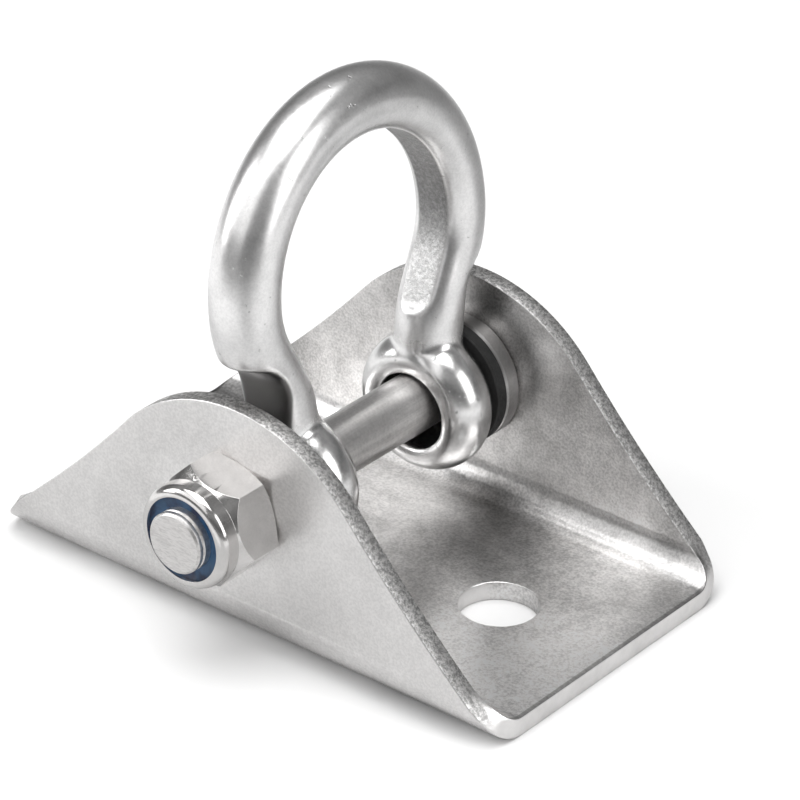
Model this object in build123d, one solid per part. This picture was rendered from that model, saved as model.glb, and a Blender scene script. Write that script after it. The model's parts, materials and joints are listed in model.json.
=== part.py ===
from build123d import *
import os
from math import atan2, cos, pi, radians, sin, tan

# Pad eye: a bent-plate bracket that carries a bow shackle on a through bolt.
# Millimetres. X runs along the base, Y along the bolt, Z up.
# The origin is at the centre of the base's underside.

# ---- bracket: one pressed plate, a flat base with two upright ears
plate_thickness = 3.2
base_length = 98.0
overall_width = 59.4
bend_inside_radius = 4.5
bend_outside_radius = bend_inside_radius + plate_thickness
ear_height = 39.6
ear_top_radius = 28.0
ear_shoulder_angle = 48.5
ear_foot_half_length = 43.5
blank_corner_radius = 8.5
neutral_share = 0.45
bend_sections = 9
base_hole_diameter = 12.5
base_hole_spacing = 55.0
ear_hole_diameter = 10.5

# ---- bolt line
axle_height = 22.7
bolt_diameter = 9.8
shank_diameter = 9.5
shank_end_y = -17.0
shank_step = 0.3
bolt_end_y = -42.9
bolt_end_chamfer = 0.35
thread_groove_depth = 0.45
thread_groove_width = 0.5
thread_groove_from_end = 1.0
head_across_flats = 17.0
head_height = 6.4
head_flat_share = 0.95
hexagon_chamfer_angle = 30.0

# ---- lock nut with a nylon ring
nut_across_flats = 17.0
nut_height = 11.5
nut_corner_edge = 6.2
nut_cone_top = 8.2
nut_turn = 13.0
nut_seat_share = 0.97
collar_radius = 8.3
collar_rounding = 1.5
lip_radius = 6.75
lip_thickness = 0.9
insert_radius = 7.1
insert_height = 3.2

# ---- bow shackle
wire_radius = 5.4
bow_radius = 24.15
bow_centre_height = 30.1
shoulder_radius = 17.0
leg_slant = 27.5
leg_straight = 6.2
neck_radius = 17.5
neck_turn = 21.0
neck_straight = 4.0
bow_lean = 4.5
eye_plane_y = 16.2
eye_outer_radius = 11.6
eye_face_radius = 8.4
eye_ring_drop = 0.8
eye_thickness = 9.7
eye_hole_diameter = 12.4
eye_hole_drop = 1.2
relief_height = 22.0
relief_width = 11.2
relief_corner_radius = 6.5
flat_depth = 1.1
flat_width = 6.4
flat_foot_height = 15.6

# ---- washers between each eye and its ear
washer_outer_diameter = 21.0
washer_hole_diameter = 10.5
washer_drop = 0.33
nylon_washer_thickness = 2.2
steel_washer_thickness = 3.0
side_gap = 0.1
washer_gap = 0.05
washer_edge_break = 0.3

# ---- derived places; the margin is how far cutting tools run past what they cut
margin = 1.0
half_length = base_length / 2
half_width = overall_width / 2
ear_inside_y = half_width - plate_thickness
eye_outside_y = eye_plane_y + eye_thickness / 2
hexagon_corner = 2 / 3 ** 0.5
bend_centre_y = half_width - bend_outside_radius
neutral_radius = bend_inside_radius + neutral_share * plate_thickness


def y_cylinder(radius, y_from, y_to, height=axle_height):
    """Solid cylinder along Y between two Y values, centred on the given height."""
    plane = Plane(origin=(0, y_from, height), x_dir=(1, 0, 0), z_dir=(0, 1, 0))
    return extrude(plane * Circle(radius), amount=y_to - y_from)


def y_revolve(outline):
    """Turns (radius, y) points about the bolt line into a solid."""
    points = [(radius, y, 0) for radius, y in outline]
    profile = make_face(Polyline(*points, close=True))
    return Pos(0, 0, axle_height) * revolve(profile, axis=Axis.Y)


def hexagon_prism(across_flats, y_from, y_to, turn):
    """Hexagonal prism along the bolt line."""
    plane = Plane(origin=(0, y_from, axle_height), x_dir=(1, 0, 0), z_dir=(0, 1, 0))
    hexagon = RegularPolygon(across_flats / 2, 6, major_radius=False, rotation=turn)
    return extrude(plane * hexagon, amount=y_to - y_from)


def top_arc():
    """Round top of an ear, in its side view."""
    turn = radians(ear_shoulder_angle)
    centre = ear_height - ear_top_radius
    x = ear_top_radius * sin(turn)
    z = centre + ear_top_radius * cos(turn)
    return ThreePointArc((-x, z), (0, ear_height), (x, z))


def flank_arc():
    """Hollow edge from the round top down to where the bend starts, on the +X side."""
    top = top_arc()
    return TangentArc(top @ 1, (ear_foot_half_length, bend_outside_radius), tangent=top % 1)


def ear_outline():
    """Side view of both ears: a round top, hollow flanks and the full base below."""
    flank = flank_arc()
    end = Polyline(
        (ear_foot_half_length, bend_outside_radius),
        (half_length, bend_outside_radius),
        (half_length, 0),
        (-half_length, 0),
        (-half_length, bend_outside_radius),
        (-ear_foot_half_length, bend_outside_radius),
    )
    return make_face([top_arc(), flank, end, mirror(flank, about=Plane.YZ)])


# ---- the flat blank's corner, in distances below the ear's foot
flank_end = flank_arc() % 1
flank_slope = atan2(-flank_end.Y, flank_end.X)
corner_tangent = blank_corner_radius * tan((pi / 2 - flank_slope) / 2)
sharp_corner = (half_length - ear_foot_half_length) * tan(flank_slope)
corner_start = sharp_corner - corner_tangent * sin(flank_slope)
corner_end = sharp_corner + corner_tangent


def blank_half_length(distance):
    """Half length of the flat blank at a distance below the ear's foot, round its corner."""
    if distance <= corner_start:
        return ear_foot_half_length + distance / tan(flank_slope)
    offset = max(corner_end - distance, 0.0)
    return half_length - blank_corner_radius + (blank_corner_radius ** 2 - offset ** 2) ** 0.5


def bend_end_cutter():
    """Trims one end of one bend square to the plate, along the blank's round corner."""
    inner, outer = bend_inside_radius - margin, bend_outside_radius + margin
    beyond = half_length + margin
    sections = []
    for step in range(bend_sections):
        distance = corner_end * step / (bend_sections - 1)
        angle = distance / neutral_radius
        start = blank_half_length(distance)
        corners = []
        for x, radius in ((start, inner), (start, outer), (beyond, outer), (beyond, inner)):
            y = bend_centre_y + radius * cos(angle)
            z = bend_outside_radius - radius * sin(angle)
            corners.append(Vector(x, y, z))
        sections.append(Wire.make_polygon(corners, close=True))
    return Solid.make_loft(sections)


def make_bracket():
    """Channel bent from plate, trimmed to the ears' outline, with its four holes."""
    stand_up = (Align.CENTER, Align.CENTER, Align.MIN)
    outside = Box(base_length, overall_width, ear_height, align=stand_up)
    outside = fillet(outside.edges().filter_by(Axis.X).group_by(Axis.Z)[0], bend_outside_radius)
    inside = Pos(0, 0, plate_thickness) * Box(
        base_length + 2 * margin, 2 * ear_inside_y, ear_height, align=stand_up
    )
    inside = fillet(inside.edges().filter_by(Axis.X).group_by(Axis.Z)[0], bend_inside_radius)
    side_view = extrude(Plane.XZ * ear_outline(), amount=half_width + margin, both=True)
    bracket = (outside - inside) & side_view
    cutter = bend_end_cutter()
    for one in (cutter, mirror(cutter, about=Plane.XZ)):
        bracket = bracket - one - mirror(one, about=Plane.YZ)
    bracket -= y_cylinder(ear_hole_diameter / 2, -half_width - margin, half_width + margin)
    for x in (-base_hole_spacing / 2, base_hole_spacing / 2):
        bracket -= Pos(x, 0, 0) * Cylinder(base_hole_diameter / 2, 2 * (plate_thickness + margin))
    return bracket


def leg_path():
    """One side of the shackle's centre line, from the bow's widest point to its eye."""
    shoulder = JernArc((bow_radius, bow_centre_height), (0, -1), shoulder_radius, -leg_slant)
    slant = Line(shoulder @ 1, shoulder @ 1 + (shoulder % 1) * leg_straight)
    neck = JernArc(slant @ 1, slant % 1, neck_radius, neck_turn)
    stub = Line(neck @ 1, neck @ 1 + (neck % 1) * neck_straight)
    return [shoulder, slant, neck, stub]


def sweep_half(piece, section):
    """Sweeps a section, drawn with its own +Y towards the inside of the bow, along one piece."""
    upright = Plane(origin=(0, 0, axle_height), x_dir=(0, 1, 0), z_dir=(1, 0, 0))
    run = upright * piece
    start = Plane(origin=run @ 0, x_dir=(1, 0, 0), z_dir=run % 0)
    return sweep(start * section, path=run)


def make_eye():
    """Flat-faced ring with a rounded outside at the foot of the +Y leg, not yet drilled."""
    centre_height = axle_height - eye_ring_drop
    inner, outer = eye_plane_y - eye_thickness / 2, eye_plane_y + eye_thickness / 2
    low, high = (eye_face_radius, inner), (eye_face_radius, outer)
    outside = ThreePointArc(low, (eye_outer_radius, eye_plane_y), high)
    rest = Polyline(high, (0, outer), (0, inner), low)
    return Pos(0, 0, centre_height) * revolve(make_face([outside, rest]), axis=Axis.Y)


def make_relief():
    """What is scooped away outside an eye and up its leg, to clear the ear and the washers."""
    outline = RectangleRounded(
        half_width, 2 * relief_height, relief_corner_radius, align=(Align.MIN, Align.CENTER)
    )
    plane = Plane.YZ * Pos(eye_outside_y, axle_height)
    return extrude(plane * outline, amount=relief_width / 2, both=True)


def make_shackle():
    """Round bar bent to a bow, flattened inside, with two flat-faced eyes on the bolt."""
    half_bow = CenterArc((0, bow_centre_height), bow_radius, 90, -90)
    pieces = [half_bow] + leg_path()
    inside_depth = wire_radius - flat_depth
    flat_section = Pos(0, inside_depth) * Rectangle(
        2 * wire_radius, wire_radius, align=(Align.CENTER, Align.MIN)
    )
    half = Part()
    flat = Part()
    for piece in pieces:
        half += sweep_half(piece, Circle(wire_radius))
        flat += sweep_half(piece, flat_section)
    foot_centre = axle_height + flat_foot_height + flat_width / 2
    top = axle_height + bow_centre_height + bow_radius
    strip = Pos(0, (foot_centre + top) / 2) * Rectangle(flat_width, top - foot_centre)
    outline = strip + Pos(0, foot_centre) * Circle(flat_width / 2)
    flat &= extrude(Plane.XZ * outline, amount=half_width, both=True)
    half = half + make_eye() - flat
    hole_height = axle_height - eye_hole_drop
    half -= make_relief()
    half -= y_cylinder(eye_hole_diameter / 2, 0, half_width, hole_height)
    return half + mirror(half, about=Plane.XZ)


def make_bolt():
    """Hex bolt from the far side: head outside the ear, plain shank, chamfered end."""
    radius = bolt_diameter / 2
    head_top = half_width + head_height
    corner = head_across_flats / 2 * hexagon_corner
    head_flat = head_across_flats / 2 * head_flat_share
    head_chamfer = (corner - head_flat) * tan(radians(hexagon_chamfer_angle))
    crown = y_revolve([
        (0, half_width),
        (corner, half_width),
        (corner, head_top - head_chamfer),
        (head_flat, head_top),
        (0, head_top),
    ])
    head = hexagon_prism(head_across_flats, half_width, head_top, 0) & crown
    groove = bolt_end_y + thread_groove_from_end
    shank = y_revolve([
        (0, bolt_end_y),
        (radius - bolt_end_chamfer, bolt_end_y),
        (radius, bolt_end_y + bolt_end_chamfer),
        (radius, groove),
        (radius - thread_groove_depth, groove + thread_groove_width / 2),
        (radius, groove + thread_groove_width),
        (radius, shank_end_y - shank_step),
        (shank_diameter / 2, shank_end_y),
        (shank_diameter / 2, half_width),
        (0, half_width),
    ])
    return head + shank


def make_locknut_body():
    """Hex lock nut outside the near ear, with a round collar rolled over its nylon ring."""
    face = -half_width
    corner = nut_across_flats / 2 * hexagon_corner
    seat_radius = nut_across_flats / 2 * nut_seat_share
    seat_chamfer = (corner - seat_radius) * tan(radians(hexagon_chamfer_angle))
    envelope = y_revolve([
        (0, face),
        (seat_radius, face),
        (corner, face - seat_chamfer),
        (corner, face - nut_corner_edge),
        (collar_radius, face - nut_cone_top),
        (collar_radius, face - nut_height),
        (0, face - nut_height),
    ])
    prism = hexagon_prism(nut_across_flats, face, face - nut_height, nut_turn)
    body = prism & envelope
    rim = body.edges().filter_by(GeomType.CIRCLE).group_by(Axis.Y)[0]
    body = fillet(rim, collar_rounding)
    lip = face - nut_height + lip_thickness
    body -= y_cylinder(lip_radius, face - nut_height - margin, lip)
    body -= y_cylinder(insert_radius, lip, lip + insert_height)
    body -= y_cylinder(bolt_diameter / 2, face - nut_height, face + margin)
    return body


def make_locknut_insert():
    """Nylon ring held under the lock nut's lip and gripped by the thread."""
    lip = -half_width - nut_height + lip_thickness
    ring = y_cylinder(insert_radius, lip, lip + insert_height)
    return ring - y_cylinder(bolt_diameter / 2, lip - margin, lip + insert_height + margin)


def make_washer(outer_face, thickness):
    """Flat washer on the +Y half of the bolt; its outer face is the one towards the ear."""
    inner_face = outer_face - thickness
    height = axle_height - washer_drop
    disc = y_cylinder(washer_outer_diameter / 2, inner_face, outer_face, height)
    disc = chamfer(disc.edges().filter_by(GeomType.CIRCLE), washer_edge_break)
    return disc - y_cylinder(washer_hole_diameter / 2, inner_face - margin, outer_face + margin, height)


def lean(shape):
    """Leans the upright shackle about the bolt's axis, as it stands at rest."""
    return Pos(0, 0, axle_height) * Rot(0, -bow_lean, 0) * Pos(0, 0, -axle_height) * shape


steel_face = ear_inside_y - side_gap
nylon_face = steel_face - steel_washer_thickness - washer_gap
far_steel_washer = make_washer(steel_face, steel_washer_thickness)
far_nylon_washer = make_washer(nylon_face, nylon_washer_thickness)
parts = {
    "bracket": make_bracket(),
    "shackle_bow": lean(make_shackle()),
    "bolt": make_bolt(),
    "locknut_body": make_locknut_body(),
    "locknut_insert": make_locknut_insert(),
    "far_steel_washer": far_steel_washer,
    "far_nylon_washer": far_nylon_washer,
    "near_steel_washer": mirror(far_steel_washer, about=Plane.XZ),
    "near_nylon_washer": mirror(far_nylon_washer, about=Plane.XZ),
}
os.makedirs("parts", exist_ok=True)
for name, shape in parts.items():
    export_step(shape, f"parts/{name}.step")
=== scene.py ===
import bpy
import json
import math
from mathutils import Matrix, Vector


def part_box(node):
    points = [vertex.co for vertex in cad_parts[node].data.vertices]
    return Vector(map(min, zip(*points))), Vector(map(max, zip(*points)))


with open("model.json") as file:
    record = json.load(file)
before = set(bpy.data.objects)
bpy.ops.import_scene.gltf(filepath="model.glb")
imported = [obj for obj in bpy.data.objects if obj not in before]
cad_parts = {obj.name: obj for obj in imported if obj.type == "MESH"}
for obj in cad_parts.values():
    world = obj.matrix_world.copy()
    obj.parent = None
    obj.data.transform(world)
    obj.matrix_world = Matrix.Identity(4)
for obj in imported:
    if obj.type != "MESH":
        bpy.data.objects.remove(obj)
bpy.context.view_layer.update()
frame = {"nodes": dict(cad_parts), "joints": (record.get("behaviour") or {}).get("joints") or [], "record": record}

MM = 0.001
PER_MM = 1000.0
scene = bpy.context.scene
scene.view_settings.view_transform = "Standard"

# ---------------------------------------------------------------- sizes in millimetres
# The bracket. Its bends run from the base's upper face to the ears' inner faces.
bracket_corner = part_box("bracket")[1] * PER_MM
HALF_LENGTH = bracket_corner.x
HALF_WIDTH = bracket_corner.y
PLATE = 3.2
BEND_RADIUS = 4.5
EAR_INSIDE = HALF_WIDTH - PLATE
BEND_START = EAR_INSIDE - BEND_RADIUS
BEND_TOP = PLATE + BEND_RADIUS

# The shackle, measured from the bolt's axis with its lean taken off.
swing = next(joint for joint in frame["joints"] if joint["name"] == "shackle_swing")
AXLE = Vector(swing["pos_m"])
LEAN = math.radians(4.5)
BOW_RISE = 30.1
BOW_INSIDE = 15.0
FLAT_FOOT = 15.6
FLAT_HALF_WIDTH = 3.2
EYE_FACE_Y = 21.05
EYE_TOP = 12.0
SCOOP_RADIUS = 6.5
SCOOP_FOOT = 11.0
SCOOP_TOP = 22.0
SCOOP_CENTRE_Y = EYE_FACE_Y + SCOOP_RADIUS
SCOOP_CENTRE_Z = SCOOP_TOP - SCOOP_RADIUS


# ---------------------------------------------------------------- node helpers
class Shader:
    """A material's node tree, written as expressions on object-space millimetres."""

    def __init__(self, name, metallic):
        self.material = bpy.data.materials.new(name)
        self.material.use_nodes = True
        self.tree = self.material.node_tree
        self.surface = self.tree.nodes["Principled BSDF"]
        self.surface.inputs["Metallic"].default_value = metallic
        self.coords = self.tree.nodes.new("ShaderNodeTexCoord")

    def add(self, kind, **settings):
        node = self.tree.nodes.new(kind)
        for key, value in settings.items():
            setattr(node, key, value)
        return node

    def plug(self, source, socket):
        """Sets a socket to a constant, or links it to an output."""
        if isinstance(source, (int, float, tuple)):
            socket.default_value = source
        else:
            self.tree.links.new(source, socket)

    def math(self, operation, a, b=0.0):
        node = self.add("ShaderNodeMath", operation=operation)
        self.plug(a, node.inputs[0])
        self.plug(b, node.inputs[1])
        return node.outputs[0]

    def plus(self, *terms):
        total = terms[0]
        for term in terms[1:]:
            total = self.math("ADD", total, term)
        return total

    def times(self, *factors):
        product = factors[0]
        for factor in factors[1:]:
            product = self.math("MULTIPLY", product, factor)
        return product

    def away(self, value):
        """Distance from zero."""
        return self.math("ABSOLUTE", value)

    def vector(self, operation, a, b=(0.0, 0.0, 0.0)):
        node = self.add("ShaderNodeVectorMath", operation=operation)
        self.plug(a, node.inputs[0])
        self.plug(b, node.inputs[1])
        return node.outputs["Value" if operation == "LENGTH" else "Vector"]

    def place(self, stretch=(1.0, 1.0, 1.0), shift=(0.0, 0.0, 0.0)):
        """Object position in millimetres, squeezed along some axes."""
        scaled = tuple(PER_MM * share for share in stretch)
        return self.vector("ADD", self.vector("MULTIPLY", self.coords.outputs["Object"], scaled), shift)

    def normal(self):
        return self.coords.outputs["Normal"]

    def split(self, vector):
        node = self.add("ShaderNodeSeparateXYZ")
        self.plug(vector, node.inputs[0])
        return node.outputs

    def noise(self, size, detail=2.0, rough=0.5, warp=0.0, **place):
        """Noise from 0 to 1 whose features are about `size` millimetres."""
        node = self.add("ShaderNodeTexNoise")
        self.plug(self.place(**place), node.inputs["Vector"])
        node.inputs["Scale"].default_value = 1.0 / size
        node.inputs["Detail"].default_value = detail
        node.inputs["Roughness"].default_value = rough
        node.inputs["Distortion"].default_value = warp
        return node.outputs["Fac"]

    def range(self, value, low, high, to_low=0.0, to_high=1.0):
        """Eases from one value to another as `value` goes from `low` to `high`."""
        node = self.add("ShaderNodeMapRange", interpolation_type="SMOOTHSTEP")
        for source, socket in zip((value, low, high, to_low, to_high), node.inputs):
            self.plug(source, socket)
        return node.outputs[0]

    def vary(self, noise, to_low, to_high, spread=0.2):
        """Spreads a noise's usual values, which lie within `spread` of a half, over a range."""
        return self.range(noise, 0.5 - spread, 0.5 + spread, to_low, to_high)

    def mix(self, share, a, b):
        """Mixes two values or two colours."""
        colours = isinstance(a, tuple)
        node = self.add("ShaderNodeMix", data_type="RGBA" if colours else "FLOAT")
        first = 6 if colours else 2
        self.plug(share, node.inputs[0])
        self.plug(a, node.inputs[first])
        self.plug(b, node.inputs[first + 1])
        return node.outputs[2 if colours else 0]

    def tint(self, colour, strength):
        """A colour times a value."""
        node = self.add("ShaderNodeMix", data_type="RGBA", blend_type="MULTIPLY")
        self.plug(1.0, node.inputs[0])
        self.plug(colour, node.inputs[6])
        gray = self.add("ShaderNodeCombineColor")
        for socket in gray.inputs[:3]:
            self.plug(strength, socket)
        self.plug(gray.outputs[0], node.inputs[7])
        return node.outputs[2]

    def bump(self, *heights):
        """Bump from the sum of some heights in millimetres."""
        node = self.add("ShaderNodeBump")
        node.inputs["Distance"].default_value = MM
        node.inputs["Strength"].default_value = 1.0
        self.plug(self.plus(*heights), node.inputs["Height"])
        self.plug(node.outputs[0], self.surface.inputs["Normal"])

    def finish(self, colour, roughness):
        self.plug(colour, self.surface.inputs["Base Color"])
        self.plug(roughness, self.surface.inputs["Roughness"])
        return self.material


def grey(value, warm=0.0):
    """A linear grey, with a little warmth."""
    return (value, value * (1.0 - 0.6 * warm), value * (1.0 - warm), 1.0)


# ---------------------------------------------------------------- materials
def channel_painted_light(s, x, y, z):
    """Painted shade and highlights: how much darker or lighter the bracket's inside is from place to place."""
    from_middle = s.away(x)
    # Painted shade under the bolt, turning to a faint painted highlight towards the ends.
    shade_under_bolt = s.range(from_middle, 12.0, 27.0, 0.84, 1.10)
    # Painted shade in the far corners of the channel.
    shaded_far_corners = s.times(s.range(from_middle, 33.0, 42.0), s.range(y, 0.0, 14.0))
    # Painted shade behind the bow, towards -X.
    shade_behind_bow = s.range(x, -25.0, -5.0, 0.86, 1.0)
    # Painted light along the bends: a highlight at and left of the middle, shade from there to near the +X end.
    bend_share = s.times(
        s.range(s.away(y), BEND_START + 0.4, BEND_START + 1.6),
        s.range(z, BEND_TOP - 0.5, BEND_TOP - 1.5),
    )
    bend_painted_light = s.range(x, 38.0, 47.0, s.range(x, 10.0, 30.0, 1.25, 0.60), 0.95)
    # Painted shade: a dark line along the top edge of the base's end faces.
    shaded_rim_share = s.times(
        s.range(from_middle, HALF_LENGTH - 0.85, HALF_LENGTH - 0.6),
        s.range(z, PLATE - 0.6, PLATE - 0.2),
    )
    return s.times(
        shade_under_bolt,
        s.mix(shaded_far_corners, 1.0, 0.72),
        shade_behind_bow,
        s.mix(bend_share, 1.0, bend_painted_light),
        s.mix(shaded_rim_share, 1.0, 0.55),
    )


def plate_steel():
    """Tumbled stainless plate, cloudier inside the channel, with painted shade and highlights, and torn shear
    edges round the ears.
    """
    s = Shader("plate_steel", 1.0)
    x, y, z = s.split(s.place())
    facing = s.split(s.normal())
    beside = s.away(y)
    inside = s.range(beside, EAR_INSIDE + 2.5, EAR_INSIDE + 0.5)
    above_bend = s.range(z, BEND_TOP - 1.7, BEND_TOP + 1.3)
    past_ear_face = s.range(beside, EAR_INSIDE + 0.3, EAR_INSIDE + 0.9)
    edge_on = s.range(s.away(facing[1]), 0.75, 0.35)
    sheared = s.times(edge_on, s.math("MAXIMUM", above_bend, past_ear_face))
    end_on = s.range(s.away(facing[0]), 0.6, 0.9)
    lit_base_end = s.times(end_on, s.range(z, PLATE + 1.8, PLATE + 0.3))
    clouds = s.noise(17.0, 2.5, 0.5, warp=0.8, shift=(4.0, 0.0, 0.0))
    stains = s.noise(5.0, 4.0, 0.6, shift=(30.0, 7.0, 2.0))
    grain = s.noise(0.42, 2.0, 0.6)
    pebbles = s.noise(1.3, 2.0, 0.5, shift=(1.0, 5.0, 3.0))
    specks = s.noise(0.6, 4.0, 0.75, shift=(5.0, 1.0, 8.0))
    skin = s.plus(
        s.vary(clouds, 0.93, 1.02, spread=0.15),
        s.vary(stains, -0.03, 0.03),
        s.vary(grain, -0.07, 0.07),
    )
    channel = s.plus(
        s.vary(clouds, 0.80, 1.06, spread=0.15),
        s.vary(stains, -0.10, 0.08),
        s.vary(grain, -0.16, 0.16),
        s.vary(pebbles, -0.05, 0.05),
    )
    # Inside the channel the tone carries painted shade and highlights.
    tone = s.mix(inside, skin, s.times(channel, channel_painted_light(s, x, y, z)))
    darkest_speck = s.range(z, 3.0, 10.0, 0.62, 0.36)
    tone = s.mix(sheared, tone, s.vary(specks, darkest_speck, 1.0, spread=0.12))
    # Painted highlight: the base's end faces are made lighter.
    tone = s.mix(lit_base_end, tone, s.vary(stains, 1.05, 1.2))
    smooth = s.plus(s.vary(clouds, 0.33, 0.285), s.vary(grain, 0.0, 0.04))
    roughness = s.mix(sheared, smooth, s.range(specks, 0.4, 0.7, 0.5, 0.32))
    ripple = s.plus(s.times(grain, 0.003), s.times(s.noise(3.5), 0.025))
    s.bump(s.mix(sheared, ripple, s.times(specks, 0.06)))
    return s.finish(s.tint(grey(0.82, 0.022), tone), roughness)


def stand_upright(s):
    """Position from the bolt's axis, and normal, with the shackle's lean taken off."""
    from_axle = s.vector("SUBTRACT", s.place(), tuple(AXLE * PER_MM))
    for kind, source in (("POINT", from_axle), ("NORMAL", s.normal())):
        turn = s.add("ShaderNodeMapping", vector_type=kind)
        s.plug(source, turn.inputs["Vector"])
        turn.inputs["Rotation"].default_value = (0.0, LEAN, 0.0)
        yield s.split(turn.outputs[0])


def scoop_share(s, y, z):
    """1 on the round-nosed hollow outside each leg, and 0 elsewhere."""
    from_centre = s.add("ShaderNodeCombineXYZ")
    s.plug(s.math("SUBTRACT", SCOOP_CENTRE_Y, s.away(y)), from_centre.inputs[1])
    s.plug(s.math("MAXIMUM", s.math("SUBTRACT", z, SCOOP_CENTRE_Z), 0.0), from_centre.inputs[2])
    distance = s.vector("LENGTH", from_centre.outputs[0])
    on_surface = s.range(distance, SCOOP_RADIUS + 0.8, SCOOP_RADIUS + 0.35)
    return s.times(on_surface, s.range(z, SCOOP_FOOT - 1.0, SCOOP_FOOT))


def flat_share(s, place, facing):
    """1 on the flat inside the bow, and 0 elsewhere."""
    x, y, z = place
    middle = s.range(s.away(x), FLAT_HALF_WIDTH - 0.1, FLAT_HALF_WIDTH - 0.6)
    outward = s.plus(s.times(facing[1], y), s.times(facing[2], s.math("SUBTRACT", z, BOW_RISE)))
    inside = s.range(outward, 3.0 - BOW_INSIDE, -BOW_INSIDE)
    return s.times(middle, inside, s.range(z, FLAT_FOOT, FLAT_FOOT + 1.0))


def cast_steel():
    """Polished stainless with faint waves, grain and pits, a sandy flat with painted shade near its top, and
    painted shade in the scoops.
    """
    s = Shader("cast_steel", 1.0)
    place, facing = stand_upright(s)
    height = place[2]
    sandy = flat_share(s, place, facing)
    waves = s.noise(5.0)
    drawn = s.noise(1.2, 3.0, 0.6, warp=0.8, shift=(3.0, 9.0, 1.0))
    grain = s.noise(0.45, 3.0, 0.7)
    pitted = s.range(s.noise(1.1, shift=(11.0, 4.0, 6.0)), 0.70, 0.76)
    sand = s.noise(0.6, 4.0, 0.8, shift=(2.0, 2.0, 9.0))
    tone = s.plus(s.vary(waves, 0.90, 1.0), s.vary(grain, -0.07, 0.05), s.times(pitted, -0.25))
    # Sand on the flat, with painted shade darkening it towards the top of the bow.
    sand_and_painted_shade = s.times(s.range(sand, 0.35, 0.7, 0.62, 1.0), s.range(height, 20.0, 32.0, 1.0, 0.42))
    tone = s.mix(sandy, tone, sand_and_painted_shade)
    # Painted shade in the scoops, darkest at their foot.
    scoop_painted_shade = s.range(height, SCOOP_FOOT, SCOOP_TOP, 0.25, 0.62)
    tone = s.mix(scoop_share(s, place[1], height), tone, scoop_painted_shade)
    polish = s.plus(s.range(height, EYE_TOP - 3.0, EYE_TOP, 0.21, 0.285), s.vary(drawn, 0.0, 0.04))
    ripple = s.plus(
        s.times(waves, 0.04),
        s.times(drawn, 0.004),
        s.times(grain, 0.001),
        s.times(pitted, -0.03),
    )
    s.bump(s.mix(sandy, ripple, s.times(sand, 0.10)))
    return s.finish(s.tint(grey(0.86, 0.01), tone), s.mix(sandy, polish, 0.42))


def bolt_steel():
    """Drawn bar, polished lengthwise, with fine scuffs across its ends."""
    s = Shader("bolt_steel", 1.0)
    facing = s.split(s.normal())
    end = s.range(s.away(facing[1]), 0.8, 0.95)
    streaks = s.noise(0.7, 3.0, 0.6, stretch=(1.0, 0.04, 1.0))
    grain = s.noise(0.5, 3.0, 0.7)
    clouds = s.noise(5.0)
    scuffs = s.noise(0.45, 3.0, 0.7, warp=1.2, stretch=(0.25, 1.0, 1.0))
    tone = s.plus(s.vary(streaks, 0.82, 1.0), s.vary(clouds, -0.05, 0.05), s.vary(grain, -0.08, 0.08))
    tone = s.mix(end, tone, s.range(scuffs, 0.3, 0.62, 0.80, 1.0))
    roughness = s.mix(end, s.vary(streaks, 0.42, 0.34), s.vary(scuffs, 0.5, 0.34))
    s.bump(s.times(streaks, 0.012), s.times(s.mix(end, grain, scuffs), 0.012))
    return s.finish(s.tint(grey(0.78, 0.03), tone), roughness)


def nut_steel():
    """Polished stainless with faint tool marks."""
    s = Shader("nut_steel", 1.0)
    clouds = s.noise(3.5, 3.0)
    marks = s.noise(0.5, 3.0, 0.6, stretch=(1.0, 0.15, 1.0))
    grain = s.noise(0.35, 3.0, 0.7)
    tone = s.plus(s.vary(clouds, 0.90, 1.0), s.vary(grain, -0.03, 0.03))
    roughness = s.plus(s.vary(clouds, 0.16, 0.10), s.vary(marks, 0.0, 0.06))
    s.bump(s.times(clouds, 0.02), s.times(marks, 0.004), s.times(grain, 0.002))
    return s.finish(s.tint(grey(0.74, 0.03), tone), roughness)


def washer_steel():
    """Satin stainless with turning marks."""
    s = Shader("washer_steel", 1.0)
    clouds = s.noise(4.0, 3.0)
    rings = s.noise(0.3, 3.0, 0.6, stretch=(0.1, 1.0, 0.1))
    grain = s.noise(0.4, 3.0, 0.7)
    tone = s.plus(s.vary(clouds, 0.7, 0.95), s.vary(grain, -0.05, 0.05))
    s.bump(s.times(rings, 0.008), s.times(grain, 0.008))
    return s.finish(s.tint(grey(0.56, 0.03), tone), s.vary(clouds, 0.42, 0.30))


def blue_nylon():
    """Deep blue nylon, lighter in patches."""
    s = Shader("blue_nylon", 0.0)
    clouds = s.noise(3.0, 3.0, 0.55, warp=0.5)
    grain = s.noise(0.3, 2.0, 0.6)
    deep, rubbed = (0.004, 0.008, 0.05, 1.0), (0.020, 0.085, 0.19, 1.0)
    s.bump(s.times(clouds, 0.05), s.times(grain, 0.01))
    return s.finish(s.mix(s.vary(clouds, 0.0, 1.0, spread=0.15), deep, rubbed), s.vary(grain, 0.30, 0.42))


def black_nylon():
    """Matt black nylon with a moulded skin."""
    s = Shader("black_nylon", 0.0)
    skin = s.noise(0.4, 3.0, 0.6)
    clouds = s.noise(3.0)
    s.bump(s.times(skin, 0.02))
    return s.finish(s.mix(s.vary(clouds, 0.0, 1.0), grey(0.008), grey(0.016)), s.vary(skin, 0.5, 0.66))


makers = (plate_steel, cast_steel, bolt_steel, nut_steel, washer_steel, blue_nylon, black_nylon)
materials = {make.__name__: make() for make in makers}
for entry in frame["record"]["subparts"]:
    mesh = frame["nodes"][entry["node"]].data
    mesh.materials.clear()
    mesh.materials.append(materials[entry["material_slot"]])


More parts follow.
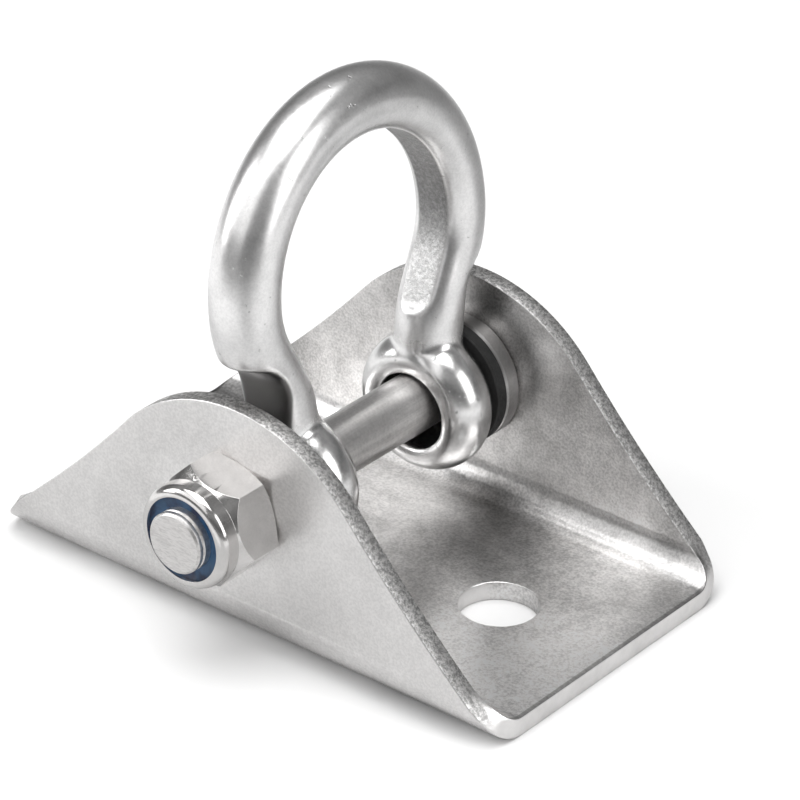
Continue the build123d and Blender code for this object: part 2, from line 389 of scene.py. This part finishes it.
# ---------------------------------------------------------------- softened edges
def round_edges(name, width_mm):
    """Breaks a node's sharp edges."""
    weld = frame["nodes"][name].modifiers.new("weld", "WELD")
    weld.merge_threshold = 0.002 * MM
    bevel = frame["nodes"][name].modifiers.new("edges", "BEVEL")
    bevel.width = width_mm * MM
    bevel.segments = 3
    bevel.limit_method = "ANGLE"
    bevel.angle_limit = math.radians(32.0)
    bevel.harden_normals = True
    bevel.miter_outer = "MITER_ARC"


def melt(name, voxel_mm, rounds):
    """Blends a node's edges into one smooth polished skin."""
    remesh = frame["nodes"][name].modifiers.new("skin", "REMESH")
    remesh.mode = "VOXEL"
    remesh.voxel_size = voxel_mm * MM
    remesh.use_smooth_shade = True
    smooth = frame["nodes"][name].modifiers.new("polish", "SMOOTH")
    smooth.factor = 0.5
    smooth.iterations = rounds


melt("shackle_bow", voxel_mm=0.35, rounds=50)
round_edges("bracket", width_mm=0.35)
round_edges("locknut_body", width_mm=0.18)
round_edges("bolt", width_mm=0.12)


# ---------------------------------------------------------------- camera
CAMERA_AZIMUTH = math.radians(38.39)
CAMERA_ELEVATION = math.radians(29.40)
CAMERA_ROLL = math.radians(1.12)
CAMERA_DISTANCE = 649.88 * MM
CAMERA_TARGET = Vector((7.63, 0.0, 31.36)) * MM
SENSOR_WIDTH_MM = 36.0
LENS_MM = 194.0


def add_camera():
    """Long-lens camera a little above the object, turned towards its near right end."""
    back = Vector((
        math.sin(CAMERA_AZIMUTH) * math.cos(CAMERA_ELEVATION),
        -math.cos(CAMERA_AZIMUTH) * math.cos(CAMERA_ELEVATION),
        math.sin(CAMERA_ELEVATION),
    ))
    right = Vector((math.cos(CAMERA_AZIMUTH), math.sin(CAMERA_AZIMUTH), 0.0))
    up = back.cross(right)
    camera_x = right * math.cos(CAMERA_ROLL) + up * math.sin(CAMERA_ROLL)
    camera_y = up * math.cos(CAMERA_ROLL) - right * math.sin(CAMERA_ROLL)
    data = bpy.data.cameras.new("camera")
    data.sensor_width = SENSOR_WIDTH_MM
    data.lens = LENS_MM
    data.clip_start, data.clip_end = 0.01, 20.0
    camera = bpy.data.objects.new("camera", data)
    scene.collection.objects.link(camera)
    rotation = Matrix((camera_x, camera_y, back)).transposed().to_4x4()
    camera.matrix_world = Matrix.Translation(CAMERA_TARGET + back * CAMERA_DISTANCE) @ rotation
    scene.camera = camera


add_camera()

# ---------------------------------------------------------------- floor and light
# What polished metal sees of the floor: its brightness near and far, how far off in
# millimetres it changes, and dark sides as (direction, half width in degrees, strength).
FLOOR_NEAR, FLOOR_FAR = 0.64, 0.95
FLOOR_CHANGE = (95.0, 135.0)
FLOOR_DARKEST = 0.08
DARK_SIDES = ((-52.0, 22.0, 0.38), (75.0, 42.0, 0.7))

# Brightness of the studio from the horizon (0) to straight up (1).
STUDIO = ((0.0, 0.30), (0.12, 0.22), (0.30, 0.12), (0.50, 0.21), (0.66, 0.30), (0.80, 0.20), (1.0, 0.3))

# Each light's place and size in metres, and its power in watts.
SOFTBOXES = {
    "softbox_top": ((-0.05, -0.05, 0.9), (0.8, 0.8), 6.0),
    "softbox_left": ((-0.8, -0.5, 0.45), (0.35, 0.6), 3.0),
    "softbox_front": ((-0.2, -0.65, 0.64), (0.9, 0.7), 1.8),
    "softbox_right": ((0.9, 0.1, 0.5), (0.5, 0.8), 3.0),
}


def floor_paper():
    """White paper that shows in polished metal as light grey with two darker sides."""
    s = Shader("floor_paper", 0.0)
    place = s.place()
    x, y, _ = s.split(place)
    angle = s.math("ARCTAN2", y, x)
    far = s.range(s.vector("LENGTH", place), *FLOOR_CHANGE)
    dark = 0.0
    for direction, half_width, strength in DARK_SIDES:
        alignment = s.math("COSINE", s.math("SUBTRACT", angle, math.radians(direction)))
        edge, core = math.cos(math.radians(half_width)), math.cos(math.radians(half_width / 4))
        dark = s.math("MAXIMUM", dark, s.range(alignment, edge, core, 0.0, strength))
    mirrored = s.mix(s.times(dark, far), s.mix(far, FLOOR_NEAR, FLOOR_FAR), FLOOR_DARKEST)
    path = s.add("ShaderNodeLightPath")
    value = s.mix(path.outputs["Is Glossy Ray"], 1.0, mirrored)
    return s.finish(s.tint(grey(1.0), value), 0.9)


def add_floor():
    bpy.ops.mesh.primitive_plane_add(size=6.0)
    floor = bpy.context.object
    floor.name = "floor"
    floor.data.materials.append(floor_paper())


def add_world():
    """A pale studio, darker in bands nearer the horizon."""
    world = bpy.data.worlds.new("studio")
    scene.world = world
    world.use_nodes = True
    tree = world.node_tree
    coords = tree.nodes.new("ShaderNodeTexCoord")
    split = tree.nodes.new("ShaderNodeSeparateXYZ")
    ramp = tree.nodes.new("ShaderNodeValToRGB")
    tree.links.new(coords.outputs["Generated"], split.inputs[0])
    tree.links.new(split.outputs[2], ramp.inputs[0])
    ramp.color_ramp.interpolation = "EASE"
    for _ in STUDIO[2:]:
        ramp.color_ramp.elements.new(0.5)
    for element, (position, value) in zip(ramp.color_ramp.elements, STUDIO):
        element.position = position
        element.color = grey(value)
    tree.links.new(ramp.outputs[0], tree.nodes["Background"].inputs["Color"])


def add_softbox(name, place, size, power):
    """A rectangular soft light aimed at the object."""
    data = bpy.data.lights.new(name, "AREA")
    data.shape = "RECTANGLE"
    data.size, data.size_y = size
    data.energy = power
    light = bpy.data.objects.new(name, data)
    scene.collection.objects.link(light)
    light.location = place
    light.rotation_euler = (AXLE - Vector(place)).to_track_quat("-Z", "Y").to_euler()


add_floor()
add_world()
for name, (place, size, power) in SOFTBOXES.items():
    add_softbox(name, place, size, power)
